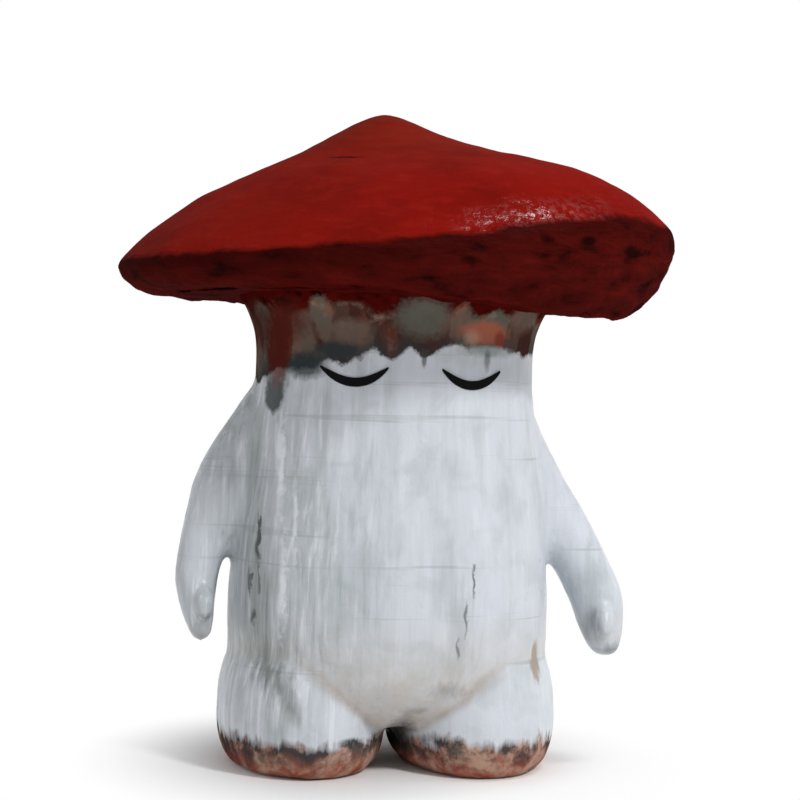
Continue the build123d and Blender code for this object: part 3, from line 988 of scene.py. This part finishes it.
class FIGURE_OT_body(bpy.types.Operator):
    """Model the body with its arms and legs under one skin, then part them"""

    bl_idname = "figure.body"
    bl_label = "Body and limbs"

    def execute(self, context):
        body = context.scene.figure_body
        trunk = self.pull_trunk()
        limbs = {}
        for side, sign, arm_rings in (("left", 1, LEFT_ARM_RINGS), ("right", -1, RIGHT_ARM_RINGS)):
            limbs[side + "_arm"] = self.pull_arm(side + "_arm", sign, arm_rings)
            limbs[side + "_leg"] = self.pull_leg(side + "_leg", sign)
        limb_gaps = {name: self.gap_from(limb) for name, limb in limbs.items()}
        trunk_gap = self.gap_from(trunk)
        self.fuse(trunk, limbs.values(), body.grid)

        def leg_gap(at):
            """Distance of a place from the nearer leg."""
            return min(limb_gaps[name](at) for name in ("left_leg", "right_leg"))

        def joint(at):
            """How far the slip is smoothed at a place, most where a limb meets the body."""
            off_trunk = trunk_gap(at)
            weight = 0
            for name, gap in limb_gaps.items():
                reach = body.arm_blend
                if name.endswith("leg"):
                    reach = body.leg_blend + HIP_BLEND * max(0, abs(at.x) - HIP_START)
                    reach += BACK_BLEND * max(0, at.y)
                weight = max(weight, smoothstep(JOINT_EDGE - max(off_trunk, gap(at)) / reach))
            return weight

        def fold(at):
            """How far a place lies in the fold between belly and legs, at the front."""
            line = smoothstep(FOLD_EDGE - max(leg_gap(at), trunk_gap(at)) / FOLD_WIDTH)
            line *= smoothstep((FOLD_SIDE - abs(at.x)) / FOLD_FADE)
            return line * smoothstep((FOLD_BACK - at.y) / FOLD_FADE)

        def on_leg(at):
            """How far a place lies on a leg and not on the belly."""
            return smoothstep(0.5 + (trunk_gap(at) - leg_gap(at)) / LEG_EDGE)

        apply_modifier(trunk, "SMOOTH", factor=0.5, iterations=SKIN_SMOOTHING)
        weigh(trunk, "joint", joint)
        apply_modifier(trunk, "SMOOTH", factor=0.5, iterations=JOINT_SMOOTHING, vertex_group="joint")
        # The fold is stored for the smear and painted shade laid in it
        store(trunk, "crease", fold)
        store(trunk, "leg", on_leg)
        raise_lumps(trunk, body.lump_size, body.lump_height)
        raise_lumps(trunk, body.dent_size, body.dent_height)
        for vertex in trunk.data.vertices:
            vertex.co.z = max(0, vertex.co.z)
        glaze = body_glaze(context.scene.figure_glazes)
        pieces = {"stem_body": trunk}
        for name, gap in limb_gaps.items():
            others = [trunk_gap] + [other for other in limb_gaps.values() if other is not gap]
            pieces[name] = self.part(trunk, name + "_glazed", gap, others)
        for name, piece in pieces.items():
            self.close_cuts(piece)
            finish_piece(piece, glaze, "body_glaze", name)
        return {"FINISHED"}

    @staticmethod
    def pull_trunk():
        """The stem from the crotch to the collar."""
        trunk = pull_rings("stem_body_glazed", level_rings(BODY_RINGS), TRUNK_AROUND)
        apply_modifier(trunk, "SUBSURF", levels=2, render_levels=2)
        return trunk

    @staticmethod
    def pull_leg(name, sign):
        """A stump leg with a hollowed sole."""
        rings = level_rings(LEG_RINGS, sign * LEG_SPREAD / 2 * MM)
        leg = pull_rings(name, rings, LIMB_AROUND)
        bpy.ops.object.mode_set(mode="EDIT")
        pick(leg, range(LIMB_AROUND))
        bpy.ops.mesh.inset(thickness=SOLE_RING * MM)
        bpy.ops.transform.translate(value=(0, 0, SOLE_HOLLOW * MM))
        bpy.ops.object.mode_set(mode="OBJECT")
        apply_modifier(leg, "SUBSURF", levels=2, render_levels=2)
        return leg

    @staticmethod
    def pull_arm(name, sign, arm_rings):
        """A hanging arm with a mitten hand and a thumb."""
        out, up = SHOULDER
        tip = arm_rings[-1][1]
        rings = []
        for reach, drop, turn, rise, depth in arm_rings:
            swing = FORWARD_SWING * (drop / tip) ** 2
            centre = Vector((sign * (out + reach), -swing, up - drop)) * MM
            rings.append((centre, sign * radians(90 + turn), rise * MM, depth * MM))
        arm = pull_rings(name, rings, LIMB_AROUND)
        apply_modifier(arm, "SUBSURF", levels=2, render_levels=2)
        reach, drop = arm_rings[THUMB_RING][:2]
        inwards, forwards, upwards = THUMB_SHIFT
        thumb = Vector((sign * (out + reach - inwards), -forwards, up - drop + upwards)) * MM
        bpy.ops.object.mode_set(mode="EDIT")
        bpy.ops.mesh.primitive_uv_sphere_add(
            segments=24,
            ring_count=16,
            radius=MM,
            location=thumb,
            rotation=(radians(THUMB_TURN), 0, 0),
            scale=THUMB_SIZE,
        )
        bpy.ops.object.mode_set(mode="OBJECT")
        return arm

    @staticmethod
    def gap_from(piece):
        """A function that gives the distance of a place from the piece's skin as it is now."""
        corners = [vertex.co.copy() for vertex in piece.data.vertices]
        skin = BVHTree.FromPolygons(corners, [face.vertices[:] for face in piece.data.polygons])
        return lambda at: skin.find_nearest(at)[3]

    @staticmethod
    def fuse(trunk, limbs, grid):
        """Joins the limbs to the trunk and draws one skin over all of them."""
        choose(trunk, *limbs)
        bpy.ops.object.join()
        apply_modifier(trunk, "REMESH", mode="VOXEL", voxel_size=grid)

    @staticmethod
    def largest_patch(faces):
        """The largest group of faces that hang together by their edges."""
        waiting = set(faces)
        largest = set()
        while waiting:
            patch = set()
            reached = [waiting.pop()]
            while reached:
                face = reached.pop()
                patch.add(face)
                for near in {other for edge in face.edges for other in edge.link_faces} & waiting:
                    waiting.remove(near)
                    reached.append(near)
            largest = max(largest, patch, key=len)
        return largest

    @staticmethod
    def pinched_faces(skin, patch):
        """Faces of a patch at the corners where its own rim, or the rim of the rest, passes twice."""
        pinched = set()
        for vertex in skin.verts:
            inside = [sum(face in patch for face in edge.link_faces) for edge in vertex.link_edges]
            outside = [len(edge.link_faces) - count for edge, count in zip(vertex.link_edges, inside)]
            if inside.count(1) > 2 or outside.count(1) > 2:
                pinched |= patch & set(vertex.link_faces)
        return pinched

    def part(self, trunk, name, gap, others):
        """Separates the faces that lie nearer to a limb than to the other forms."""
        choose(trunk)
        bpy.ops.object.mode_set(mode="EDIT")
        bpy.ops.mesh.select_mode(type="FACE")
        bpy.ops.mesh.select_all(action="DESELECT")
        skin = bmesh.from_edit_mesh(trunk.data)
        near = set()
        for face in skin.faces:
            middle = face.calc_center_median()
            off_limb = gap(middle)
            if all(off_limb < other(middle) for other in others):
                near.add(face)
        rest = self.largest_patch(set(skin.faces) - self.largest_patch(near))
        pinched = self.pinched_faces(skin, rest)
        while pinched:
            rest = self.largest_patch(rest - pinched)
            pinched = self.pinched_faces(skin, rest)
        for face in skin.faces:
            face.select = face not in rest
        bmesh.update_edit_mesh(trunk.data)
        before = set(bpy.data.objects)
        bpy.ops.mesh.separate(type="SELECTED")
        bpy.ops.object.mode_set(mode="OBJECT")
        piece = (set(bpy.data.objects) - before).pop()
        piece.name = name
        piece.data.name = name
        return piece

    @staticmethod
    def close_cuts(piece):
        """Turns each open rim of a piece inwards and closes it."""
        choose(piece)
        bpy.ops.object.mode_set(mode="EDIT")
        bpy.ops.mesh.select_mode(type="EDGE")
        for cut in range(MOST_CUTS):
            bpy.ops.mesh.select_all(action="DESELECT")
            skin = bmesh.from_edit_mesh(piece.data)
            reached = [edge for edge in skin.edges if edge.is_boundary][:1]
            if not reached:
                break
            rim = set(reached)
            while reached:
                ends = reached.pop().verts
                near = {edge for vertex in ends for edge in vertex.link_edges if edge.is_boundary} - rim
                rim |= near
                reached += near
            for edge in rim:
                edge.select = True
            bmesh.update_edit_mesh(piece.data)
            corners = [vertex for vertex in skin.verts if vertex.select]
            middle = sum((vertex.co for vertex in corners), Vector()) / len(corners)
            bpy.ops.mesh.mark_sharp()
            bpy.ops.mesh.extrude_region_move()
            bpy.ops.transform.resize(value=[CUT_SHRINK] * 3, center_override=middle)
            bpy.ops.mesh.edge_face_add()
        else:
            raise RuntimeError("a cut of " + piece.name + " stays open")
        bpy.ops.mesh.select_all(action="SELECT")
        bpy.ops.mesh.normals_make_consistent(inside=False)
        bpy.ops.object.mode_set(mode="OBJECT")


class FIGURE_OT_eyes(bpy.types.Operator):
    """Model the closed eyes as crescents of slip laid on the face"""

    bl_idname = "figure.eyes"
    bl_label = "Eyes"

    def execute(self, context):
        eyes = context.scene.figure_eyes
        slip = eye_slip(context.scene.figure_glazes)
        face = bpy.data.objects["stem_body_glazed"]
        for side, sign in (("left", 1), ("right", -1)):
            piece = new_piece(side + "_eye_slip")
            bpy.ops.object.mode_set(mode="EDIT")
            bpy.ops.mesh.primitive_grid_add(x_subdivisions=28, y_subdivisions=6, size=2)
            bpy.ops.object.mode_set(mode="OBJECT")
            for vertex in piece.data.vertices:
                along, up = vertex.co.xy
                taper = LID_END + (1 - LID_END) * (1 - along**4)
                lid = up * taper * eyes.thickness / 2 - eyes.sag * (LID_MIDDLE - along**2)
                across = sign * eyes.spacing / 2 + along * eyes.width / 2
                vertex.co = (across, BEFORE_FACE, eyes.height + lid)
            apply_modifier(
                piece,
                "SHRINKWRAP",
                target=face,
                wrap_method="PROJECT",
                use_project_y=True,
                use_positive_direction=True,
                use_negative_direction=False,
            )
            apply_modifier(piece, "SOLIDIFY", thickness=eyes.slip, offset=-0.5)
            apply_modifier(
                piece, "BEVEL", width=eyes.edge, segments=2, limit_method="ANGLE", angle_limit=SHARP_ANGLE
            )
            apply_modifier(piece, "SUBSURF", levels=1, render_levels=1)
            finish_piece(piece, slip, "eye_slip", side + "_eye")
        return {"FINISHED"}


class FIGURE_OT_stage(bpy.types.Operator):
    """Set up the floor, the soft lamps and the camera"""

    bl_idname = "figure.stage"
    bl_label = "Stage"

    def execute(self, context):
        stage = context.scene.figure_stage
        self.add_floor(context.scene.figure_glazes)
        self.add_world(context.scene, stage.room_light)
        for name, place, size, turn in LAMPS:
            self.add_lamp(name + "_lamp", place, size, turn, getattr(stage, name + "_power"))
        self.add_camera(context.scene, stage)
        context.scene.view_settings.view_transform = "Standard"
        return {"FINISHED"}

    @staticmethod
    def seen_directly(put):
        """1 for rays that come from the camera, a mirror or glass."""
        seen = put("ShaderNodeLightPath", out="Is Camera Ray")
        rays = seen.node.outputs
        for kind in ("Is Glossy Ray", "Is Transmission Ray"):
            seen = put(MATH, {0: seen, 1: rays[kind]}, operation="MAXIMUM")
        return seen

    def add_floor(self, colours):
        """A pale floor that keeps the shadow and fades to white away from the figure."""
        bpy.ops.object.select_all(action="DESELECT")
        bpy.ops.mesh.primitive_plane_add(size=FLOOR_SIZE, location=(0, 0, 0))
        floor = bpy.context.object
        floor.name = "studio_floor"
        material, put, shader = new_material("studio_paper")
        fill(shader, {"Base Color": linear(colours.floor), "Roughness": 0.9})
        place = put(COORDINATES, out="Object")
        away = put(VECTOR, {0: place}, out="Value", operation="LENGTH")
        fade = {0: away, 1: WHITE_START, 2: WHITE_FULL}
        white = put(RAMP, fade, interpolation_type="SMOOTHSTEP")
        white = put(MATH, {0: white, 1: self.seen_directly(put)}, operation="MULTIPLY")
        glow = put("ShaderNodeEmission", {0: (1, 1, 1, 1), 1: 1.0})
        mix = put("ShaderNodeMixShader", {0: white, 1: shader.outputs[0], 2: glow})
        output = next(node for node in material.node_tree.nodes if node.type == "OUTPUT_MATERIAL")
        fill(output, {"Surface": mix})
        floor.data.materials.append(material)

    def add_world(self, scene, strength):
        """Even light from all round that the camera sees as white."""
        scene.world = bpy.data.worlds.new("studio_world")
        scene.world.use_nodes = True
        tree = scene.world.node_tree
        put = partial(add, tree)
        background = next(node for node in tree.nodes if node.type == "BACKGROUND")
        level = put(RAMP, {0: self.seen_directly(put), 3: strength, 4: 1.0})
        fill(background, {"Color": (1, 1, 1, 1), "Strength": level})

    @staticmethod
    def add_lamp(name, place, size, turn, energy):
        """A soft lamp that faces the figure."""
        bpy.ops.object.select_all(action="DESELECT")
        bpy.ops.object.light_add(type="AREA", location=place)
        lamp = bpy.context.object
        lamp.name = name
        lamp.data.energy = energy
        lamp.data.shape = "RECTANGLE"
        lamp.data.size, lamp.data.size_y = size
        aim = Vector(LAMP_AIM) - Vector(place)
        lamp.rotation_euler = aim.to_track_quat("-Z", "Y").to_euler()
        lamp.rotation_euler.rotate_axis("Z", radians(turn))

    @staticmethod
    def add_camera(scene, stage):
        """A camera at the photograph's angle."""
        turn = stage.camera_turn
        across = sin(turn) * stage.camera_distance
        along = -cos(turn) * stage.camera_distance
        bpy.ops.object.camera_add(
            location=(across, along, stage.camera_height),
            rotation=(radians(90), stage.camera_roll, turn),
        )
        camera = bpy.context.object
        camera.name = "photo_camera"
        camera.data.sensor_width = SENSOR
        camera.data.lens = SENSOR / 2 / tan(stage.view_angle / 2)
        camera.data.shift_x = stage.camera_shift
        camera.data.clip_start = NEAREST_SEEN
        scene.camera = camera


class FIGURE_PT_panel(bpy.types.Panel):
    """Steps that model the figure."""

    bl_idname = "FIGURE_PT_panel"
    bl_label = "Mushroom figure"
    bl_space_type = "VIEW_3D"
    bl_region_type = "UI"
    bl_category = "Figure"

    def draw(self, context):
        for step in STEPS:
            self.layout.operator(step.bl_idname)
        for name in GROUPS:
            settings = getattr(context.scene, name)
            box = self.layout.box()
            for field in settings.__annotations__:
                box.prop(settings, field)


STEPS = (FIGURE_OT_cap_top, FIGURE_OT_cap_underside, FIGURE_OT_body, FIGURE_OT_eyes, FIGURE_OT_stage)
GROUPS = {
    "figure_cap": CapSizes,
    "figure_body": BodySizes,
    "figure_eyes": EyeSizes,
    "figure_glazes": GlazeColours,
    "figure_stage": StageSizes,
}


def register():
    """Adds the classes and their settings."""
    for kind in (*GROUPS.values(), *STEPS, FIGURE_PT_panel):
        bpy.utils.register_class(kind)
    for name, kind in GROUPS.items():
        setattr(bpy.types.Scene, name, PointerProperty(type=kind))


def unregister():
    """Removes the settings and the classes."""
    for name in GROUPS:
        delattr(bpy.types.Scene, name)
    for kind in reversed((*GROUPS.values(), *STEPS, FIGURE_PT_panel)):
        bpy.utils.unregister_class(kind)


def main():
    """Models the figure step by step."""
    register()
    bpy.ops.figure.cap_top()
    bpy.ops.figure.cap_underside()
    bpy.ops.figure.body()
    bpy.ops.figure.eyes()
    bpy.ops.figure.stage()


if __name__ == "__main__":
    main()
